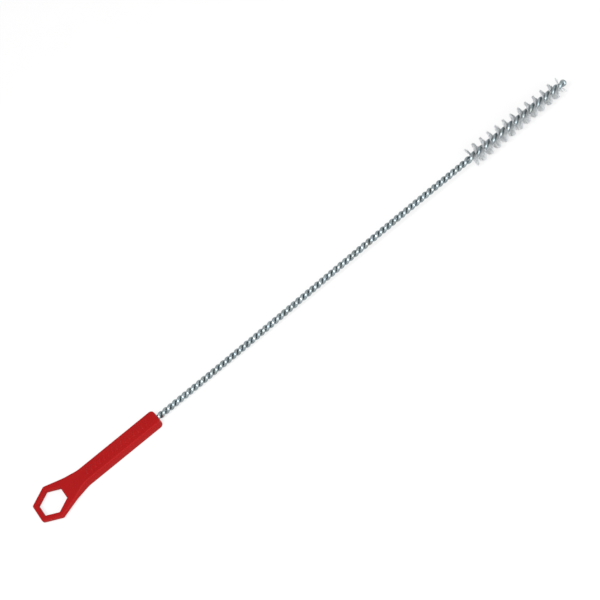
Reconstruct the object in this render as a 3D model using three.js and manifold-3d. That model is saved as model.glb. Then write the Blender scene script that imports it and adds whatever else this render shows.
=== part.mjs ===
// Drain auger: a flat moulded handle with a hexagonal ring, a long stem of one doubled and twisted
// wire, and a tapered bristle brush at its far end.
//
// Lengths are in millimetres. While it is built, the tool lies along +X: x = 0 is the end face of
// the handle where the stem leaves it, the ring is at -X, the brush at +X, the handle is flat in
// the XY plane, and z = 0 is the middle of its thickness. The finished tool is then set down with
// its origin at the bottom centre of its own box.

import * as THREE from 'three';
import { mergeVertices } from 'three/addons/utils/BufferGeometryUtils.js';
import Module from 'manifold-3d';

const { clamp, degToRad, lerp, smootherstep } = THREE.MathUtils;

const wasm = await Module();
wasm.setup();

// ---- Handle ----
const HANDLE_LENGTH = 102;
const GRIP_WIDTH = 12.4;
const GRIP_END_RADIUS = 3;
const EDGE_BEVEL = 0.9;
const RING_THICKNESS = 3.6;
const RING_WALL = 3.8;
const RING_CORNER_RADIUS = 1.6;
const HEX_ACROSS_FLATS = 18.4;
const HEX_CORNER_RADIUS = 0.8;
const FLARE_LENGTH = 24.5;
const FLARE_RADIUS = 16;
const SOCKET_DEPTH = 34;
const SOCKET_CLEARANCE = 0.12;
const SOCKET_WALL = 0.75;
const SOCKET_SIDES = 20;

// ---- Raised ribs across the top of the grip ----
const RIB_SPACING = 3.6;
const RIB_LENGTH = 4.2;
const RIB_WIDTH = 1.1;
const RIB_HEIGHT = 0.35;
const RIB_ROOT = 0.3;
const RIB_SLANT = degToRad(28);
const FIRST_RIB = 8;
const LAST_RIB_GAP = 6;

// ---- Twisted stem: one hairpin wire, so two strands ----
const WIRE_DIAMETER = 2.4;
const STRAND_CLEARANCE = 0.16;
const STEM_LENGTH = 272.5;
const STEM_PITCH = 8.2;
const TIP_LENGTH = 4.8;
const WIRE_SIDES = 6;
const STEPS_PER_TURN = 10;
const BEND_STEPS = 6;

// ---- Brush ----
const BRISTLED_LENGTH = 78;
const BRUSH_PITCH = 13;
const BRUSH_START_RADIUS = 7.3;
const BRUSH_END_RADIUS = 5.9;
const TUFTS_PER_TURN = 4;
const BARS_PER_TUFT = 4;
const TUFT_GAP = 0.4;
const BRISTLE_LAYER = 0.3;
const BRISTLE_CLEARANCE = 0.12;
const BAR_WIDTH = 0.45;
const SPINE_RADIUS = 0.15;
const OPENING_LENGTH = 6;
const FIRST_FAN_ANGLE = degToRad(53);

// ---- Sizes that follow ----
const HALF_WIDTH = GRIP_WIDTH / 2;
const HOLE_APOTHEM = HEX_ACROSS_FLATS / 2;
const RING_APOTHEM = HOLE_APOTHEM + RING_WALL;
const RING_RADIUS = RING_APOTHEM / Math.cos(Math.PI / 6);
const RING_CENTRE = RING_APOTHEM - HANDLE_LENGTH;
const FLARE_END = RING_CENTRE + FLARE_LENGTH;
const RIBBED_LENGTH = -FLARE_END - LAST_RIB_GAP - FIRST_RIB;
const RIB_COUNT = 1 + Math.floor(RIBBED_LENGTH / RIB_SPACING);
const WIRE_RADIUS = WIRE_DIAMETER / 2;
const BRUSH_END = STEM_LENGTH + BRISTLED_LENGTH;
const TOOL_REACH = BRUSH_END + TIP_LENGTH;
const TUFT_COUNT = Math.round(TUFTS_PER_TURN * BRISTLED_LENGTH / BRUSH_PITCH);
const TUFT_LENGTH = BRISTLED_LENGTH / TUFT_COUNT;

// Distance of each strand's middle from the axis of the twist.
const STEM_SPACING = WIRE_RADIUS + STRAND_CLEARANCE / 2;
const BRUSH_SPACING = WIRE_RADIUS + BRISTLE_LAYER / 2 + BRISTLE_CLEARANCE;
const STEM_RADIUS = STEM_SPACING + WIRE_RADIUS;
const SOCKET_RADIUS = STEM_RADIUS + SOCKET_CLEARANCE;
const GRIP_THICKNESS = 2 * (SOCKET_RADIUS + SOCKET_WALL);
const STEM_RISE = BRUSH_START_RADIUS - GRIP_THICKNESS / 2;

const materials = {
  handle: new THREE.MeshStandardMaterial({ color: 0xb81d18, roughness: 0.38, metalness: 0 }),
  wire: new THREE.MeshStandardMaterial({ color: 0x9fb0b3, roughness: 0.32, metalness: 1 }),
  bristle: new THREE.MeshStandardMaterial({ color: 0xaeb3b5, roughness: 0.4, metalness: 0 }),
};

// ---- Solids ----

function toSolid(geometry) {
  const bare = geometry.clone();
  bare.deleteAttribute('normal');
  bare.deleteAttribute('uv');
  const merged = mergeVertices(bare, 1e-5);
  return new wasm.Manifold(new wasm.Mesh({
    numProp: 3,
    vertProperties: new Float32Array(merged.attributes.position.array),
    triVerts: new Uint32Array(merged.index.array),
  }));
}

function toGeometry(solid) {
  const mesh = solid.getMesh();
  const geometry = new THREE.BufferGeometry();
  geometry.setAttribute('position', new THREE.BufferAttribute(mesh.vertProperties, 3));
  geometry.setIndex(new THREE.BufferAttribute(mesh.triVerts, 1));
  geometry.computeVertexNormals();
  return geometry;
}

function piece(name, geometry, material) {
  const mesh = new THREE.Mesh(geometry, material);
  mesh.name = name;
  return mesh;
}

// A closed outline through the given corners, each rounded by its own radius.
function roundedOutline(corners) {
  const shape = new THREE.Shape();
  corners.forEach(({ x, y, radius }, i) => {
    const corner = new THREE.Vector2(x, y);
    const before = corners[(i + corners.length - 1) % corners.length];
    const after = corners[(i + 1) % corners.length];
    const back = new THREE.Vector2(before.x - x, before.y - y).normalize();
    const ahead = new THREE.Vector2(after.x - x, after.y - y).normalize();
    const halfAngle = Math.acos(clamp(back.dot(ahead), -1, 1)) / 2;
    const reach = radius / Math.tan(halfAngle);
    const start = corner.clone().addScaledVector(back, reach);
    const end = corner.clone().addScaledVector(ahead, reach);
    const middle = back.clone().add(ahead).normalize();
    const centre = corner.clone().addScaledVector(middle, radius / Math.sin(halfAngle));
    const from = start.clone().sub(centre).angle();
    const to = end.clone().sub(centre).angle();
    const clockwise = back.cross(ahead) > 0;
    if (i === 0) shape.moveTo(start.x, start.y);
    else shape.lineTo(start.x, start.y);
    shape.absarc(centre.x, centre.y, radius, from, to, clockwise);
  });
  shape.closePath();
  return shape;
}

// ---- Handle ----

// The plan of the handle: half a hexagon at the ring's end, straight tapers from its widest
// corners down to the grip, and a grip with rounded end corners.
function handleOutline() {
  const side = [
    { x: RING_CENTRE - RING_APOTHEM, y: RING_RADIUS / 2, radius: RING_CORNER_RADIUS },
    { x: RING_CENTRE, y: RING_RADIUS, radius: RING_CORNER_RADIUS },
    { x: FLARE_END, y: HALF_WIDTH, radius: FLARE_RADIUS },
    { x: 0, y: HALF_WIDTH, radius: GRIP_END_RADIUS },
  ];
  const otherSide = side.map(({ x, y, radius }) => ({ x, y: -y, radius })).reverse();
  return roundedOutline([...side, ...otherSide].reverse());
}

function handleBlank() {
  const blank = new THREE.ExtrudeGeometry(handleOutline(), {
    depth: GRIP_THICKNESS - 2 * EDGE_BEVEL,
    bevelThickness: EDGE_BEVEL,
    bevelSize: EDGE_BEVEL,
    bevelOffset: -EDGE_BEVEL,
    bevelSegments: 2,
    curveSegments: 4,
  });
  return toSolid(blank.translate(0, 0, EDGE_BEVEL - GRIP_THICKNESS / 2));
}

// Seen from the side, the ring is thinner than the grip, and the flare ramps between them.
function thicknessProfile() {
  const spare = 1;
  const ringEnd = RING_CENTRE + RING_APOTHEM;
  const profile = new THREE.Shape();
  profile.moveTo(-HANDLE_LENGTH - spare, -RING_THICKNESS / 2);
  profile.lineTo(ringEnd, -RING_THICKNESS / 2);
  profile.lineTo(FLARE_END, -GRIP_THICKNESS / 2);
  profile.lineTo(spare, -GRIP_THICKNESS / 2);
  profile.lineTo(spare, GRIP_THICKNESS / 2);
  profile.lineTo(FLARE_END, GRIP_THICKNESS / 2);
  profile.lineTo(ringEnd, RING_THICKNESS / 2);
  profile.lineTo(-HANDLE_LENGTH - spare, RING_THICKNESS / 2);
  const width = 2 * (RING_RADIUS + spare);
  const block = new THREE.ExtrudeGeometry(profile, { depth: width, bevelEnabled: false });
  return toSolid(block.translate(0, 0, -width / 2).rotateX(Math.PI / 2));
}

function hexagonalHole() {
  const radius = HOLE_APOTHEM / Math.cos(Math.PI / 6);
  const corners = [];
  for (let i = 0; i < 6; i += 1) {
    const angle = Math.PI / 6 + i * Math.PI / 3;
    corners.push({
      x: radius * Math.cos(angle),
      y: radius * Math.sin(angle),
      radius: HEX_CORNER_RADIUS,
    });
  }
  const depth = 2 * GRIP_THICKNESS;
  const prism = new THREE.ExtrudeGeometry(roundedOutline(corners), {
    depth,
    bevelEnabled: false,
    curveSegments: 3,
  });
  return toSolid(prism.translate(RING_CENTRE, 0, -depth / 2));
}

// The blind bore in the end of the grip that the two strands are moulded into.
function stemSocket() {
  const spare = 1;
  const length = SOCKET_DEPTH + spare;
  const radius = SOCKET_RADIUS / Math.cos(Math.PI / SOCKET_SIDES);
  const bore = new THREE.CylinderGeometry(radius, radius, length, SOCKET_SIDES);
  return toSolid(bore.rotateZ(Math.PI / 2).translate(spare - length / 2, 0, 0));
}

function rib(index) {
  const height = RIB_HEIGHT + RIB_ROOT;
  const bar = new THREE.BoxGeometry(RIB_WIDTH, RIB_LENGTH, height);
  bar.rotateZ(-RIB_SLANT);
  const z = GRIP_THICKNESS / 2 + RIB_HEIGHT - height / 2;
  return toSolid(bar.translate(-FIRST_RIB - index * RIB_SPACING, 0, z));
}

function handle() {
  let solid = handleBlank().intersect(thicknessProfile());
  for (let index = 0; index < RIB_COUNT; index += 1) {
    solid = solid.add(rib(index));
  }
  solid = solid.subtract(hexagonalHole()).subtract(stemSocket());
  return piece('handle', toGeometry(solid), materials.handle);
}

// ---- Stem ----

// 0 where the two strands lie together, 1 where bristles hold them apart.
function opening(x) {
  const opens = smootherstep(x, STEM_LENGTH - OPENING_LENGTH, STEM_LENGTH);
  const closes = smootherstep(x, BRUSH_END, TOOL_REACH);
  return opens * (1 - closes);
}

// The turn of the twist at x. It is left-handed, and it is timed from the first fan of bristles.
function twist(x) {
  const rate = 2 * Math.PI / BRUSH_PITCH;
  if (x >= STEM_LENGTH) return FIRST_FAN_ANGLE + rate * (x - STEM_LENGTH);
  const start = STEM_LENGTH - OPENING_LENGTH;
  const stemRate = 2 * Math.PI / STEM_PITCH;
  const u = Math.max(0, (x - start) / OPENING_LENGTH);
  const speedUp = (rate - stemRate) / 2 * OPENING_LENGTH * (1 - u * u);
  const steady = stemRate * (OPENING_LENGTH * (1 - u) + Math.max(0, start - x));
  return FIRST_FAN_ANGLE - speedUp - steady;
}

// The stem rises a little, so that the handle and the brush rest on one surface.
function axisHeight(x) {
  return STEM_RISE * smootherstep(x, 0, STEM_LENGTH);
}

// The wire of the stem. It runs up one strand, turns back at the tip and returns as the other.
// It is laid out straight, above and below the layer of bristles, and then twisted.
class HairpinWire extends THREE.Curve {
  constructor() {
    super();
    this.start = WIRE_RADIUS + SOCKET_CLEARANCE - SOCKET_DEPTH;
    const openAtTip = opening(TOOL_REACH - WIRE_RADIUS);
    this.bendRadius = lerp(STEM_SPACING, BRUSH_SPACING, openAtTip);
    this.bend = TOOL_REACH - WIRE_RADIUS - this.bendRadius;
    const turns = (twist(this.bend) - twist(this.start)) / (2 * Math.PI);
    this.legSteps = Math.ceil(turns * STEPS_PER_TURN);
    this.steps = 2 * this.legSteps + BEND_STEPS;
  }

  // Stations are spread evenly in steps, not along the length of the wire.
  getUtoTmapping(u) {
    return u;
  }

  getPoint(t, target = new THREE.Vector3()) {
    const step = t * this.steps;
    let x;
    let lift;
    if (step <= this.legSteps) {
      x = lerp(this.start, this.bend, step / this.legSteps);
      lift = 1;
    } else if (step >= this.legSteps + BEND_STEPS) {
      x = lerp(this.start, this.bend, (this.steps - step) / this.legSteps);
      lift = -1;
    } else {
      const angle = Math.PI * (step - this.legSteps) / BEND_STEPS;
      x = this.bend + this.bendRadius * Math.sin(angle);
      lift = Math.cos(angle);
    }
    const above = lift * lerp(STEM_SPACING, BRUSH_SPACING, opening(x));
    const turn = twist(x);
    return target.set(x, above * Math.cos(turn), axisHeight(x) - above * Math.sin(turn));
  }
}

function stemWire() {
  const path = new HairpinWire();
  const section = new THREE.Shape();
  for (let i = 0; i < WIRE_SIDES; i += 1) {
    const angle = 2 * Math.PI * i / WIRE_SIDES;
    const x = WIRE_RADIUS * Math.cos(angle);
    const y = WIRE_RADIUS * Math.sin(angle);
    if (i === 0) section.moveTo(x, y);
    else section.lineTo(x, y);
  }
  section.closePath();
  const geometry = new THREE.ExtrudeGeometry(section, {
    steps: path.steps,
    extrudePath: path,
    bevelEnabled: false,
  });
  return piece('stem_wire', geometry, materials.wire);
}

// ---- Brush ----

function brushRadius(x) {
  const share = (x - STEM_LENGTH) / BRISTLED_LENGTH;
  return lerp(BRUSH_START_RADIUS, BRUSH_END_RADIUS, share);
}

// A quarter turn of the brush: straight bars of bristles that cross the axis, each turned a
// little further than the last, on a spine that runs between the two strands.
function bristleTuft(index) {
  const middle = STEM_LENGTH + (index + 0.5) * TUFT_LENGTH;
  const spine = new THREE.CylinderGeometry(SPINE_RADIUS, SPINE_RADIUS, TUFT_LENGTH - TUFT_GAP, 6);
  let solid = toSolid(spine.rotateZ(Math.PI / 2));
  for (let bar = 0; bar < BARS_PER_TUFT; bar += 1) {
    const offset = ((bar + 0.5) / BARS_PER_TUFT - 0.5) * (TUFT_LENGTH - TUFT_GAP / 2);
    const box = new THREE.BoxGeometry(BAR_WIDTH, BRISTLE_LAYER, 2 * brushRadius(middle + offset));
    box.rotateX(-2 * Math.PI * offset / BRUSH_PITCH).translate(offset, 0, 0);
    solid = solid.add(toSolid(box));
  }
  const number = String(index + 1).padStart(2, '0');
  const tuft = piece(`bristle_tuft_${number}`, toGeometry(solid), materials.bristle);
  tuft.position.set(middle, 0, axisHeight(middle));
  tuft.rotation.x = -twist(middle);
  return tuft;
}

// ---- The tool ----

const brush = new THREE.Group();
for (let index = 0; index < TUFT_COUNT; index += 1) {
  brush.add(bristleTuft(index));
}

const tool = new THREE.Group();
tool.add(handle(), stemWire(), brush);

const drainAuger = new THREE.Group();
drainAuger.add(tool);
const bounds = new THREE.Box3().setFromObject(drainAuger, true);
const centre = bounds.getCenter(new THREE.Vector3());
tool.position.set(-centre.x, -centre.y, -bounds.min.z);

export default drainAuger;
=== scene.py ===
"""Looks of the drain auger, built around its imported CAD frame.

Sizes are in millimetres, but for the camera and the stage. While it is built, the tool lies along
+X: x = 0 is the end face of the handle where the stem leaves it, and z = 0 is the middle of the
grip's thickness. Meshes are turned into metres, in the frame's own axes, as they are made.
"""

import math
import random

import bpy
from mathutils import Matrix, Vector
from mathutils.geometry import delaunay_2d_cdt


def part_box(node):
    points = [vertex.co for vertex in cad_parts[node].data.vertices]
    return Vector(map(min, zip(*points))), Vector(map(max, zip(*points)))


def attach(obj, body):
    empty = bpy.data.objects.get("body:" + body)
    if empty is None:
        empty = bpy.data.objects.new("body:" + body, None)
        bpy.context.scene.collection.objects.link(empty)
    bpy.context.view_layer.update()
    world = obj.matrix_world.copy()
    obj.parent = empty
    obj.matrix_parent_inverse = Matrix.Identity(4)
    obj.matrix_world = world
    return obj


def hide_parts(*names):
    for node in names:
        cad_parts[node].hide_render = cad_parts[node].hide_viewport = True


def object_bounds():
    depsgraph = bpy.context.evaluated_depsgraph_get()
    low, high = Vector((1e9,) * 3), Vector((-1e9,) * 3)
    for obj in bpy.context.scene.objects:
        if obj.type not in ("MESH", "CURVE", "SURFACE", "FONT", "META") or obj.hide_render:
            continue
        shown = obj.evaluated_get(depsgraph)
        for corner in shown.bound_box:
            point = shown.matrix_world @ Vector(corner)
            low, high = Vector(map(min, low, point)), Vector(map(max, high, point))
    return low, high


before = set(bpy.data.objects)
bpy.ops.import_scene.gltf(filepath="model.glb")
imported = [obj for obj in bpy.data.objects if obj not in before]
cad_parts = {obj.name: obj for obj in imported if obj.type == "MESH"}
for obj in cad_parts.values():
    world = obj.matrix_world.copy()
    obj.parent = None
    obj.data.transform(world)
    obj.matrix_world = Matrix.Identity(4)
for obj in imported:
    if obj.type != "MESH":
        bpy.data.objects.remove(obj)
CAD_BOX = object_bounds()

MM = 0.001
SEED = 7

# ---- Handle, as in the CAD model ----
GRIP_WIDTH = 12.4
GRIP_END_RADIUS = 3.0
RING_THICKNESS = 3.6
RING_WALL = 3.8
RING_CORNER_RADIUS = 1.6
HEX_ACROSS_FLATS = 18.4
HEX_CORNER_RADIUS = 0.8
FLARE_LENGTH = 24.5
FLARE_RADIUS = 16.0
RIB_COUNT = 15
RIB_SPACING = 3.6
RIB_LENGTH = 4.2
RIB_WIDTH = 1.1
RIB_HEIGHT = 0.35
RIB_SLANT = math.radians(28)
FIRST_RIB = 8.0

# ---- Handle, finer than the CAD model ----
EDGE_ROUNDING = 0.85
EDGE_STEPS = 6
MOULD_DRAFT = 0.035
OUTLINE_STEP = 0.8
ARC_STEP = math.radians(7)
SHEET_GRID = 1.6
SHEET_HALF_ROWS = 9
RIM_GAP = 0.6
RAMP_EASE = 2.0
RIB_GRID = 0.26
RIB_FILLET = 0.42

# ---- Stem and brush, as in the CAD model ----
WIRE_DIAMETER = 2.4
STEM_LENGTH = 272.5
STEM_PITCH = 8.2
SOCKET_DEPTH = 34.0
SOCKET_CLEARANCE = 0.12
BRISTLED_LENGTH = 78.0
BRUSH_PITCH = 13.0
BRUSH_START_RADIUS = 7.3
BRUSH_END_RADIUS = 5.9
BRISTLE_LAYER = 0.3
BRISTLE_CLEARANCE = 0.12
OPENING_LENGTH = 6.0
FIRST_FAN_ANGLE = math.radians(53)

# ---- Stem and brush, finer than the CAD model ----
WIRE_SIDES = 14
WIRE_STEPS_PER_TURN = 36
BEND_STEPS = 14
FILAMENT_DIAMETER = 0.26
FILAMENT_SIDES = 5
FILAMENT_STEPS = 6
FILAMENT_LAYERS = 3
FILAMENT_SPACING = 0.25

# ---- Scatter of the filaments ----
TURN_SPREAD = 0.03
BOW_SPREAD = 0.10
LEAN_SPREAD = 0.06
REACH_SPREAD = 0.12
END_SPLAY = 0.3
LEVEL_SLOPE = 0.1

# ---- Sizes that follow ----
HANDLE_LOW, HANDLE_HIGH = (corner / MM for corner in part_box("handle"))
HANDLE_LENGTH = HANDLE_HIGH.x - HANDLE_LOW.x
GRIP_THICKNESS = HANDLE_HIGH.z - HANDLE_LOW.z - RIB_HEIGHT
TOOL_ORIGIN = Vector((HANDLE_HIGH.x, 0.0, HANDLE_LOW.z + GRIP_THICKNESS / 2))
RING_APOTHEM = HEX_ACROSS_FLATS / 2 + RING_WALL
RING_RADIUS = RING_APOTHEM / math.cos(math.pi / 6)
RING_CENTRE = RING_APOTHEM - HANDLE_LENGTH
RING_END = RING_CENTRE + RING_APOTHEM
FLARE_END = RING_CENTRE + FLARE_LENGTH
WIRE_RADIUS = WIRE_DIAMETER / 2
BRUSH_END = STEM_LENGTH + BRISTLED_LENGTH
TOOL_REACH = CAD_BOX[1][0] / MM - TOOL_ORIGIN.x
STEM_RISE = BRUSH_START_RADIUS - GRIP_THICKNESS / 2
BRUSH_TOP = CAD_BOX[1][2] / MM - TOOL_ORIGIN.z
TUFT_NODES = sorted(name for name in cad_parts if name.startswith("bristle_tuft_"))
TUFT_LENGTH = BRISTLED_LENGTH / len(TUFT_NODES)

# Distance of each strand's middle from the axis of the twist.
STEM_SPACING = WIRE_RADIUS
BRUSH_SPACING = WIRE_RADIUS + BRISTLE_LAYER / 2 + BRISTLE_CLEARANCE


def mix(a, b, share):
    return a + (b - a) * share


def smooth(x, low, high):
    """0 below low, 1 above high, and smooth between them."""
    share = min(max((x - low) / (high - low), 0.0), 1.0)
    return share ** 3 * (share * (share * 6 - 15) + 10)


# ---- Camera, in metres in the frame's own axes ----
FOCAL_LENGTH = 112.0
CAMERA_DISTANCE = 1.25
CAMERA_ELEVATION = math.radians(51.35)
CAMERA_ROLL = math.radians(39.14)
CAMERA_TARGET = Vector((-0.0039, 0.0007, 0.0039))
CAMERA_FOOT = -0.0739


def add_camera():
    data = bpy.data.cameras.new("camera")
    data.sensor_width = 36.0
    data.lens = FOCAL_LENGTH
    data.clip_start = 0.01
    data.clip_end = 50.0
    camera = bpy.data.objects.new("camera", data)
    bpy.context.collection.objects.link(camera)
    aside = -CAMERA_DISTANCE * math.cos(CAMERA_ELEVATION)
    place = Vector((CAMERA_FOOT, aside, CAMERA_DISTANCE * math.sin(CAMERA_ELEVATION)))
    back = (place - CAMERA_TARGET).normalized()
    upright = Vector((0.0, math.sin(CAMERA_ELEVATION), math.cos(CAMERA_ELEVATION)))
    level = upright.cross(back).normalized()
    right = Matrix.Rotation(-CAMERA_ROLL, 3, back) @ level
    up = back.cross(right)
    turn = Matrix((right, up, back)).transposed()
    camera.matrix_world = Matrix.Translation(place) @ turn.to_4x4()
    bpy.context.scene.camera = camera


# ---- Materials ----

class Nodes:
    """A material's node tree, with short calls for the nodes that the finishes share."""

    def __init__(self, name):
        self.material = bpy.data.materials.new(name)
        self.material.use_nodes = True
        self.tree = self.material.node_tree
        self.shader = self.tree.nodes["Principled BSDF"]
        self.place = self.add("ShaderNodeTexCoord").outputs["Object"]

    def add(self, kind, **values):
        node = self.tree.nodes.new(kind)
        for key, value in values.items():
            if hasattr(node, key):
                setattr(node, key, value)
            else:
                node.inputs[key.replace("_", " ")].default_value = value
        return node

    def link(self, source, target):
        self.tree.links.new(source, target)

    def noise(self, scale, detail=3.0, roughness=0.5, stretch=(1, 1, 1)):
        """Noise of about 1/scale metres, from 0 to 1."""
        mapping = self.add("ShaderNodeMapping")
        mapping.inputs["Scale"].default_value = stretch
        self.link(self.place, mapping.inputs["Vector"])
        node = self.add("ShaderNodeTexNoise", Scale=scale, Detail=detail, Roughness=roughness)
        self.link(mapping.outputs["Vector"], node.inputs["Vector"])
        return node.outputs["Fac"]

    def ramp(self, source, *stops):
        """Stops are (position, colour) with a colour of three numbers, or a grey of one."""
        node = self.add("ShaderNodeValToRGB")
        elements = node.color_ramp.elements
        while len(elements) < len(stops):
            elements.new(1.0)
        for element, (position, colour) in zip(elements, stops):
            shade = (colour,) * 3 if isinstance(colour, (int, float)) else colour
            element.position = position
            element.color = (*shade, 1.0)
        self.link(source, node.inputs["Fac"])
        return node.outputs["Color"]

    def between(self, source, low, high):
        node = self.add("ShaderNodeMapRange")
        node.inputs["To Min"].default_value = low
        node.inputs["To Max"].default_value = high
        self.link(source, node.inputs["Value"])
        return node.outputs["Result"]

    def blend(self, share, first, second):
        """A colour between two, by a share from 0 to 1."""
        node = self.add("ShaderNodeMix", data_type="RGBA")
        self.link(share, node.inputs[0])
        for socket, colour in ((node.inputs[6], first), (node.inputs[7], second)):
            if isinstance(colour, tuple):
                socket.default_value = (*colour, 1.0)
            else:
                self.link(colour, socket)
        return node.outputs[2]

    def bump(self, source, depth, strength=1.0, under=None):
        node = self.add("ShaderNodeBump", Strength=strength, Distance=depth)
        self.link(source, node.inputs["Height"])
        if under is not None:
            self.link(under, node.inputs["Normal"])
        return node.outputs["Normal"]

    def fixed(self, **values):
        for key, value in values.items():
            self.shader.inputs[key.replace("_", " ")].default_value = value


def red_plastic():
    """Moulded polypropylene: a soft gloss, a fine orange peel and scuffed, paler edges."""
    nodes = Nodes("moulded_red_plastic")
    patches = nodes.ramp(
        nodes.noise(70, detail=4.0, stretch=(0.35, 1, 1)),
        (0.36, (0.295, 0.0060, 0.0040)),
        (0.62, (0.345, 0.0085, 0.0050)),
    )
    specks = nodes.ramp(nodes.noise(1500, detail=2.0), (0.30, 0.0), (0.75, 1.0))
    mottled = nodes.blend(specks, patches, (0.33, 0.0040, 0.0085))
    edges = nodes.add("ShaderNodeNewGeometry").outputs["Pointiness"]
    worn = nodes.ramp(edges, (0.52, 0.0), (0.60, 0.35))
    colour = nodes.blend(worn, mottled, (0.46, 0.03, 0.025))
    nodes.link(colour, nodes.shader.inputs["Base Color"])
    rubbed = nodes.noise(240, detail=5.0, roughness=0.6)
    nodes.link(nodes.between(rubbed, 0.34, 0.50), nodes.shader.inputs["Roughness"])
    peel = nodes.bump(nodes.noise(900, detail=2.0), 0.00006)
    grain = nodes.bump(nodes.noise(4200, detail=1.0), 0.00001, under=peel)
    nodes.link(grain, nodes.shader.inputs["Normal"])
    nodes.fixed(Specular_IOR_Level=0.08, IOR=1.49)
    return nodes.material


def zinc_wire():
    """Galvanised wire: blue-grey zinc with darker patches and fine lines from drawing."""
    nodes = Nodes("galvanised_wire")
    zinc = nodes.ramp(
        nodes.noise(420, detail=4.0, roughness=0.6),
        (0.30, (0.20, 0.25, 0.27)),
        (0.50, (0.29, 0.34, 0.36)),
        (0.70, (0.38, 0.42, 0.43)),
    )
    stain = nodes.ramp(nodes.noise(150, detail=5.0, roughness=0.65), (0.50, 0.0), (0.72, 0.6))
    colour = nodes.blend(stain, zinc, (0.22, 0.21, 0.17))
    nodes.link(colour, nodes.shader.inputs["Base Color"])
    dull = nodes.noise(700, detail=4.0)
    nodes.link(nodes.between(dull, 0.20, 0.42), nodes.shader.inputs["Roughness"])
    lines = nodes.noise(2600, detail=2.0, stretch=(0.12, 1, 1))
    nodes.link(nodes.bump(lines, 0.00002), nodes.shader.inputs["Normal"])
    nodes.fixed(Metallic=1.0)
    return nodes.material


def nylon_bristle():
    """Clear nylon: a grey, slightly see-through filament with a soft sheen."""
    nodes = Nodes("clear_nylon")
    colour = nodes.ramp(
        nodes.noise(500, detail=3.0),
        (0.35, (0.62, 0.65, 0.66)),
        (0.65, (0.78, 0.81, 0.83)),
    )
    nodes.link(colour, nodes.shader.inputs["Base Color"])
    nodes.link(nodes.between(nodes.noise(1800), 0.22, 0.40), nodes.shader.inputs["Roughness"])
    nodes.link(nodes.bump(nodes.noise(6000), 0.00001), nodes.shader.inputs["Normal"])
    nodes.fixed(Transmission_Weight=0.25, IOR=1.53)
    return nodes.material


# ---- Meshes ----

def add_piece(name, vertices, faces, material, nodes):
    """A mesh in millimetres in the tool's axes, set down in the frame in place of CAD nodes."""
    mesh = bpy.data.meshes.new(name)
    mesh.from_pydata([(Vector(point) + TOOL_ORIGIN) * MM for point in vertices], [], faces)
    mesh.validate()
    mesh.shade_smooth()
    mesh.materials.append(material)
    piece = bpy.data.objects.new(name, mesh)
    bpy.context.collection.objects.link(piece)
    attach(piece, "root")
    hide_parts(*nodes)
    return piece


def join_rings(first, second, count, faces):
    """Quads between two closed rings of vertices that start at the given indices."""
    for i in range(count):
        j = (i + 1) % count
        faces.append((first + i, first + j, second + j, second + i))


# ---- Handle ----

def rounded_outline(corners):
    """Points and outward normals of a closed outline, anticlockwise, whose corners are rounded.

    Corners are (x, y, radius). The straight stretches are divided too.
    """
    outline = []
    count = len(corners)
    for i, (x, y, radius) in enumerate(corners):
        corner = Vector((x, y))
        back = (Vector(corners[i - 1][:2]) - corner).normalized()
        ahead = (Vector(corners[(i + 1) % count][:2]) - corner).normalized()
        half = math.acos(max(-1.0, min(1.0, back.dot(ahead)))) / 2
        centre = corner + (back + ahead).normalized() * (radius / math.sin(half))
        outwards = 1.0 if back.cross(ahead) < 0 else -1.0
        start = corner + back * (radius / math.tan(half)) - centre
        turn = outwards * (math.pi - 2 * half)
        steps = max(2, math.ceil(abs(turn) / ARC_STEP))
        arc = []
        for step in range(steps + 1):
            spoke = Matrix.Rotation(turn * step / steps, 2) @ start
            arc.append((centre + spoke, spoke.normalized() * outwards))
        if outline:
            fill_straight(outline, arc[0])
        outline.extend(arc)
    fill_straight(outline, outline[0])
    return outline


def fill_straight(outline, following):
    """Adds points between the outline's last point and the following one."""
    (last, normal), (point, _) = outline[-1], following
    steps = math.ceil((point - last).length / OUTLINE_STEP)
    for step in range(1, steps):
        outline.append((last.lerp(point, step / steps), normal))


def handle_outline():
    side = [
        (RING_CENTRE - RING_APOTHEM, RING_RADIUS / 2, RING_CORNER_RADIUS),
        (RING_CENTRE, RING_RADIUS, RING_CORNER_RADIUS),
        (FLARE_END, GRIP_WIDTH / 2, FLARE_RADIUS),
        (0.0, GRIP_WIDTH / 2, GRIP_END_RADIUS),
    ]
    other_side = [(x, -y, radius) for x, y, radius in side]
    return rounded_outline([*other_side, *reversed(side)])


def hole_outline():
    radius = HEX_ACROSS_FLATS / 2 / math.cos(math.pi / 6)
    corners = []
    for i in range(6):
        angle = math.pi / 6 + i * math.pi / 3
        corner = (RING_CENTRE + radius * math.cos(angle), radius * math.sin(angle))
        corners.append((*corner, HEX_CORNER_RADIUS))
    return rounded_outline(corners)


def half_thickness(x):
    """The ring is thinner than the grip, and the flare ramps between them."""
    share = smooth(x, RING_END - RAMP_EASE, FLARE_END + RAMP_EASE)
    return mix(RING_THICKNESS, GRIP_THICKNESS, share) / 2


def rib_relief(x, y):
    """Height of the raised ribs over the top of the grip."""
    height = 0.0
    for i in range(RIB_COUNT):
        middle = Vector((-FIRST_RIB - i * RIB_SPACING, 0.0))
        local = Matrix.Rotation(RIB_SLANT, 2) @ (Vector((x, y)) - middle)
        outside = Vector((
            max(0.0, abs(local.x) - RIB_WIDTH / 2 + RIB_FILLET),
            max(0.0, abs(local.y) - RIB_LENGTH / 2 + RIB_FILLET),
        )).length
        height = max(height, RIB_HEIGHT * (1 - smooth(outside, 0.0, 2 * RIB_FILLET)))
    return height


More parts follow.
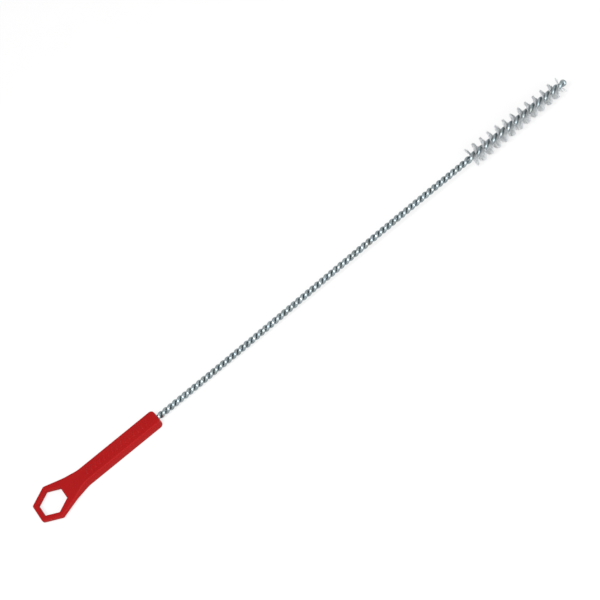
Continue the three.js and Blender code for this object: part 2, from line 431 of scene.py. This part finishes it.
def edge_profile():
    """(inset, drop) round the edge: how far in, and how far below the flat, each point is."""
    rounding = []
    for step in range(EDGE_STEPS + 1):
        angle = math.pi / 2 * step / EDGE_STEPS
        inset = EDGE_ROUNDING * (1 - math.cos(angle))
        drop = EDGE_ROUNDING * (1 - math.sin(angle))
        rounding.append((inset, drop))
    return rounding


def edge_rings(outline, inwards, vertices):
    """Rings of vertices round an edge, from the underside to the top, as start indices."""
    rounding = edge_profile()
    levels = [(inset, drop, -1) for inset, drop in reversed(rounding)]
    levels.append(None)
    levels.extend((inset, drop, 1) for inset, drop in rounding)
    starts = []
    for level in levels:
        starts.append(len(vertices))
        for point, normal in outline:
            thick = half_thickness(point.x)
            if level is None:
                place, z = point, 0.0
            else:
                inset, drop, side = level
                draft = MOULD_DRAFT * (thick - drop)
                place = point - normal * inwards * (inset + draft)
                z = side * (thick - drop)
            vertices.append((place.x, place.y, z))
    return starts


def inside(point, loop):
    """Whether a point is inside a closed loop of points."""
    within = False
    for (ax, ay), (bx, by) in zip(loop, [*loop[1:], loop[0]]):
        if (ay > point[1]) != (by > point[1]):
            if point[0] < ax + (point[1] - ay) / (by - ay) * (bx - ax):
                within = not within
    return within


def clear_of(point, loop, gap):
    return all((point - Vector(corner)).length > gap for corner in loop)


def sheet_points(outer, hole):
    """Points spread over the flat of the handle, closer together under the ribs."""
    ribbed = FIRST_RIB + (RIB_COUNT - 1) * RIB_SPACING + RIB_LENGTH
    half_band = RIB_LENGTH / 2 + RIB_FILLET
    points = []
    for column in range(round(ribbed / RIB_GRID)):
        for row in range(-round(half_band / RIB_GRID), round(half_band / RIB_GRID) + 1):
            points.append(Vector((-column * RIB_GRID - RIB_LENGTH, row * RIB_GRID)))
    for column in range(round(HANDLE_LENGTH / SHEET_GRID)):
        for row in range(-SHEET_HALF_ROWS, SHEET_HALF_ROWS + 1):
            shift = SHEET_GRID / 2 * (column % 2)
            points.append(Vector((-(column + 0.5) * SHEET_GRID, row * SHEET_GRID + shift)))
    fine_count = round(ribbed / RIB_GRID) * (2 * round(half_band / RIB_GRID) + 1)
    kept = []
    for i, point in enumerate(points):
        along_ribs = -ribbed - RIB_LENGTH < point.x < -RIB_LENGTH / 2
        under_ribs = along_ribs and abs(point.y) < half_band + RIB_GRID
        fine = i < fine_count
        if not fine and under_ribs:
            continue
        if inside(point, outer) and not inside(point, hole):
            if fine or (clear_of(point, outer, RIM_GAP) and clear_of(point, hole, RIM_GAP)):
                kept.append(point)
    return kept


def add_handle(material):
    vertices, faces = [], []
    outer, hole = handle_outline(), hole_outline()
    outer_rings = edge_rings(outer, 1.0, vertices)
    hole_rings = edge_rings(hole, -1.0, vertices)
    for first, second in zip(outer_rings, outer_rings[1:]):
        join_rings(first, second, len(outer), faces)
    for first, second in zip(hole_rings, hole_rings[1:]):
        join_rings(second, first, len(hole), faces)
    for side, outer_start, hole_start in (
        (-1, outer_rings[0], hole_rings[0]),
        (1, outer_rings[-1], hole_rings[-1]),
    ):
        add_sheet(side, (outer_start, len(outer)), (hole_start, len(hole)), vertices, faces)
    return add_piece("handle_body", vertices, faces, material, ["handle"])


def add_sheet(side, outer_ring, hole_ring, vertices, faces):
    """The flat of the handle on one side, between the outer edge's last ring and the hole's."""
    border = [*range(outer_ring[0], sum(outer_ring)), *range(hole_ring[0], sum(hole_ring))]
    flat = [Vector(vertices[i][:2]) for i in border]
    outer = [tuple(point) for point in flat[:outer_ring[1]]]
    hole = [tuple(point) for point in flat[outer_ring[1]:]]
    rims = []
    for start, count in ((0, len(outer)), (len(outer), len(hole))):
        rims.extend((start + i, start + (i + 1) % count) for i in range(count))
    index = list(border)
    for point in sheet_points(outer, hole):
        relief = rib_relief(*point) if side > 0 else 0.0
        index.append(len(vertices))
        vertices.append((point.x, point.y, side * (half_thickness(point.x) + relief)))
        flat.append(point)
    places, _, triangles, origins, _, _ = delaunay_2d_cdt(flat, rims, [], 0, 1e-5)
    for triangle in triangles:
        middle = sum((places[i] for i in triangle), Vector((0.0, 0.0))) / 3
        if inside(middle, outer) and not inside(middle, hole):
            corners = tuple(index[origins[i][0]] for i in triangle)
            faces.append(corners if side > 0 else corners[::-1])


# ---- Stem ----

def opening(x):
    """0 where the two strands lie together, 1 where bristles hold them apart."""
    opens = smooth(x, STEM_LENGTH - OPENING_LENGTH, STEM_LENGTH)
    closes = smooth(x, BRUSH_END, TOOL_REACH)
    return opens * (1 - closes)


def twist(x):
    """The turn of the twist at x, which is left-handed."""
    rate = 2 * math.pi / BRUSH_PITCH
    if x >= STEM_LENGTH:
        return FIRST_FAN_ANGLE + rate * (x - STEM_LENGTH)
    start = STEM_LENGTH - OPENING_LENGTH
    stem_rate = 2 * math.pi / STEM_PITCH
    u = max(0.0, (x - start) / OPENING_LENGTH)
    speed_up = (rate - stem_rate) / 2 * OPENING_LENGTH * (1 - u * u)
    steady = stem_rate * (OPENING_LENGTH * (1 - u) + max(0.0, start - x))
    return FIRST_FAN_ANGLE - speed_up - steady


def axis_height(x):
    return STEM_RISE * smooth(x, 0.0, STEM_LENGTH)


def twisted(x, above):
    """A point laid out above the layer of bristles, once the wire is twisted."""
    turn = twist(x)
    return Vector((x, above * math.cos(turn), axis_height(x) - above * math.sin(turn)))


def hairpin_path():
    """Middle line of the wire: up one strand, round the tip and back down the other."""
    start = WIRE_RADIUS + SOCKET_CLEARANCE - SOCKET_DEPTH
    bend_radius = mix(STEM_SPACING, BRUSH_SPACING, opening(TOOL_REACH - WIRE_RADIUS))
    bend = TOOL_REACH - WIRE_RADIUS - bend_radius
    turns = (twist(bend) - twist(start)) / (2 * math.pi)
    steps = math.ceil(turns * WIRE_STEPS_PER_TURN)
    stations = [(mix(start, bend, i / steps), 1.0) for i in range(steps + 1)]
    for i in range(1, BEND_STEPS):
        angle = math.pi * i / BEND_STEPS
        stations.append((bend + bend_radius * math.sin(angle), math.cos(angle)))
    stations.extend((mix(bend, start, i / steps), -1.0) for i in range(steps + 1))
    path = []
    for x, lift in stations:
        path.append(twisted(x, lift * mix(STEM_SPACING, BRUSH_SPACING, opening(x))))
    return path


def add_tube(path, radii, sides, vertices, faces, outward):
    """A closed tube along a path. outward gives a direction across the path at each point."""
    start = len(vertices)
    for i, point in enumerate(path):
        along = (path[min(i + 1, len(path) - 1)] - path[max(i - 1, 0)]).normalized()
        out = outward(point)
        out = (out - along * out.dot(along)).normalized()
        beside = along.cross(out)
        for j in range(sides):
            angle = 2 * math.pi * j / sides
            spoke = out * math.cos(angle) + beside * math.sin(angle)
            vertices.append(point + spoke * radii[i])
    for i in range(len(path) - 1):
        join_rings(start + i * sides, start + (i + 1) * sides, sides, faces)
    faces.append(tuple(range(start + sides - 1, start - 1, -1)))
    end = start + (len(path) - 1) * sides
    faces.append(tuple(range(end, end + sides)))


def add_wire(material):
    vertices, faces = [], []
    path = hairpin_path()

    def outward(point):
        turn = twist(point.x)
        return Vector((0.0, math.sin(turn), math.cos(turn)))

    add_tube(path, [WIRE_RADIUS] * len(path), WIRE_SIDES, vertices, faces, outward)
    return add_piece("stem_wire_twisted", vertices, faces, material, ["stem_wire"])


# ---- Brush ----

def brush_radius(x):
    return mix(BRUSH_START_RADIUS, BRUSH_END_RADIUS, (x - STEM_LENGTH) / BRISTLED_LENGTH)


def add_filament(x, rng, splay, vertices, faces):
    """One bristle, which crosses the axis between the strands and stands out on both sides."""
    turn = twist(x) + rng.gauss(0, TURN_SPREAD)
    middle = Vector((x, 0.0, axis_height(x)))
    reach = Vector((0.0, math.sin(turn), math.cos(turn)))
    bow = rng.gauss(0, BOW_SPREAD)
    lean = [rng.gauss(0, LEAN_SPREAD) + splay * rng.random() for _ in range(2)]
    layer = rng.uniform(-1, 1) * (BRISTLE_LAYER - FILAMENT_DIAMETER / 2)
    beside = Vector((0.0, reach.z, -reach.y))
    ends = []
    for direction in (-1, 1):
        length = brush_radius(x) + rng.gauss(0, REACH_SPREAD)
        up = direction * reach.z
        room = BRUSH_TOP - axis_height(x) if up > 0 else axis_height(x) + GRIP_THICKNESS / 2
        length = min(length, (room - FILAMENT_DIAMETER) / max(abs(up), LEVEL_SLOPE))
        ends.append(length)
    path = []
    for step in range(FILAMENT_STEPS + 1):
        share = 2 * step / FILAMENT_STEPS - 1
        length = ends[0] if share < 0 else ends[1]
        forward = lean[0] if share < 0 else lean[1]
        point = middle + reach * (share * length) + beside * (layer + bow * share * share)
        point.x += abs(share) * length * forward
        path.append(point)
    radii = [FILAMENT_DIAMETER / 2] * len(path)
    add_tube(path, radii, FILAMENT_SIDES, vertices, faces, lambda point: Vector((1.0, 0.0, 0.0)))


def add_tuft(index, node, material):
    rng = random.Random(SEED + index)
    vertices, faces = [], []
    start = STEM_LENGTH + index * TUFT_LENGTH
    last = index == len(TUFT_NODES) - 1
    layers = 1 if last else FILAMENT_LAYERS
    for layer in range(layers):
        for i in range(round(TUFT_LENGTH / FILAMENT_SPACING)):
            x = start + (i + (layer + rng.random()) / layers) * FILAMENT_SPACING
            add_filament(min(x, BRUSH_END), rng, END_SPLAY if last else 0.0, vertices, faces)
    return add_piece(f"{node}_filaments", vertices, faces, material, [node])


# ---- Stage, in metres ----

def seen_by_camera(nodes, links):
    """1 for what the camera sees straight, in a mirror or through glass, and 0 for other light."""
    path = nodes.new("ShaderNodeLightPath")
    total = path.outputs["Is Camera Ray"]
    for name in ("Is Glossy Ray", "Is Transmission Ray"):
        add = nodes.new("ShaderNodeMath")
        add.operation = "MAXIMUM"
        links.new(total, add.inputs[0])
        links.new(path.outputs[name], add.inputs[1])
        total = add.outputs[0]
    return total


WORLD_LIGHT = 0.55
FLOOR_SHADOW = 0.30
FLOOR_SIZE = 8.0


def add_world():
    world = bpy.data.worlds.new("studio")
    world.use_nodes = True
    nodes, links = world.node_tree.nodes, world.node_tree.links
    strength = nodes.new("ShaderNodeMapRange")
    strength.inputs["To Min"].default_value = WORLD_LIGHT
    strength.inputs["To Max"].default_value = 1.0
    links.new(seen_by_camera(nodes, links), strength.inputs["Value"])
    nodes["Background"].inputs["Color"].default_value = (1.0, 1.0, 1.0, 1.0)
    links.new(strength.outputs["Result"], nodes["Background"].inputs["Strength"])
    bpy.context.scene.world = world


def floor_material():
    """A white studio floor, which keeps part of the object's shadow."""
    finish = Nodes("white_floor")
    nodes, links = finish.tree.nodes, finish.tree.links
    paper = finish.ramp(finish.noise(40), (0.3, 0.80), (0.7, 0.83))
    links.new(paper, finish.shader.inputs["Base Color"])
    finish.fixed(Roughness=0.9, Specular_IOR_Level=0.0)
    white = finish.add("ShaderNodeEmission", Strength=1.06)
    share = finish.add("ShaderNodeMath", operation="MULTIPLY")
    share.inputs[1].default_value = 1 - FLOOR_SHADOW
    links.new(seen_by_camera(nodes, links), share.inputs[0])
    mixed = finish.add("ShaderNodeMixShader")
    links.new(share.outputs[0], mixed.inputs["Fac"])
    links.new(finish.shader.outputs[0], mixed.inputs[1])
    links.new(white.outputs[0], mixed.inputs[2])
    links.new(mixed.outputs[0], nodes["Material Output"].inputs["Surface"])
    return finish.material


def add_floor():
    half = FLOOR_SIZE / 2
    mesh = bpy.data.meshes.new("floor")
    corners = [(-half, -half, 0), (half, -half, 0), (half, half, 0), (-half, half, 0)]
    mesh.from_pydata(corners, [], [(0, 1, 2, 3)])
    mesh.materials.append(floor_material())
    floor = bpy.data.objects.new("floor", mesh)
    bpy.context.collection.objects.link(floor)


def add_lamp(name, place, size, power):
    """A square soft box that faces the middle of the tool."""
    data = bpy.data.lights.new(name, "AREA")
    data.size = size
    data.energy = power
    lamp = bpy.data.objects.new(name, data)
    lamp.location = place
    lamp.rotation_euler = (-Vector(place)).to_track_quat("-Z", "Y").to_euler()
    bpy.context.collection.objects.link(lamp)


# ---- The scene ----

add_camera()
add_world()
add_floor()
add_lamp("key_lamp", (-0.55, -0.35, 1.25), 0.55, 11.0)
add_lamp("fill_lamp", (0.3, -1.3, 0.7), 0.9, 13.0)

add_handle(red_plastic())
add_wire(zinc_wire())
bristle_finish = nylon_bristle()
for number, tuft_node in enumerate(TUFT_NODES):
    add_tuft(number, tuft_node, bristle_finish)

bpy.context.scene.view_settings.view_transform = "Standard"
